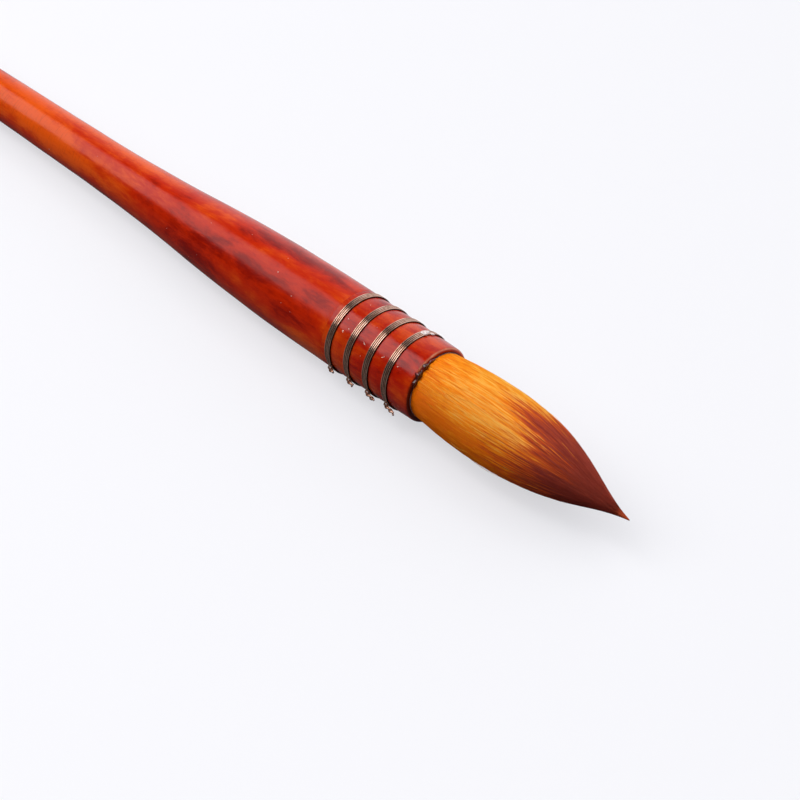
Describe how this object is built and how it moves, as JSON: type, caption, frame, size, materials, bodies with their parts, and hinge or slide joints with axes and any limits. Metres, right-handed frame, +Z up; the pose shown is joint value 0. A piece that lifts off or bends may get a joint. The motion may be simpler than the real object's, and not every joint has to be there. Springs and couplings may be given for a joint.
{
  "type": "calligraphy brush",
  "caption": "Round mop brush for calligraphy and washes: lacquered wooden handle, quill tube bound with bronze wire, and a pointed head of amber hair with a dark tip that bends.",
  "frame": {"origin": "on the floor under the middle of the brush, which lies on its side", "axes": "+X along the brush towards the hair's tip, +Z up, +Y across; the brush's own axis rises a little towards the hair, because it lies on its end and on its fattest wire band"},
  "size_m": [0.221, 0.0133, 0.0133],
  "materials": {
    "handle_lacquer": "glossy clear red lacquer over mottled wood",
    "quill_lacquer": "glossy red lacquer over quill",
    "bronze_wire": "drawn bronze wire, slightly aged",
    "resin": "set resin",
    "thread": "waxed linen thread",
    "root_hair": "glued amber hair",
    "bead_lacquer": "glossy dark lacquer",
    "cover_hair": "fine straight amber hair, dark red-brown at its tip",
    "core_hair": "fine straight amber hair"
  },
  "bodies": {
    "brush": {"handle": "handle_lacquer", "quill_tube": "quill_lacquer", "wire_ring_1": "bronze_wire", "wire_ring_2": "bronze_wire", "wire_ring_3": "bronze_wire", "wire_ring_4": "bronze_wire", "resin_plug": "resin", "root_thread": "thread", "hair_root": "root_hair", "mouth_bead": "bead_lacquer"},
    "tuft": {"cover_hair": "cover_hair", "core_hair": "core_hair"}
  },
  "joints": [
    {"name": "tuft_bend", "type": "hinge", "parent": "brush", "child": "tuft", "pos_m": [0.07748, 0, 0.00713], "axis": [-0.0223, 0, 0.9998], "range_deg": [-38, 38], "stiffness_Nm_per_rad": 0.012}
  ]
}
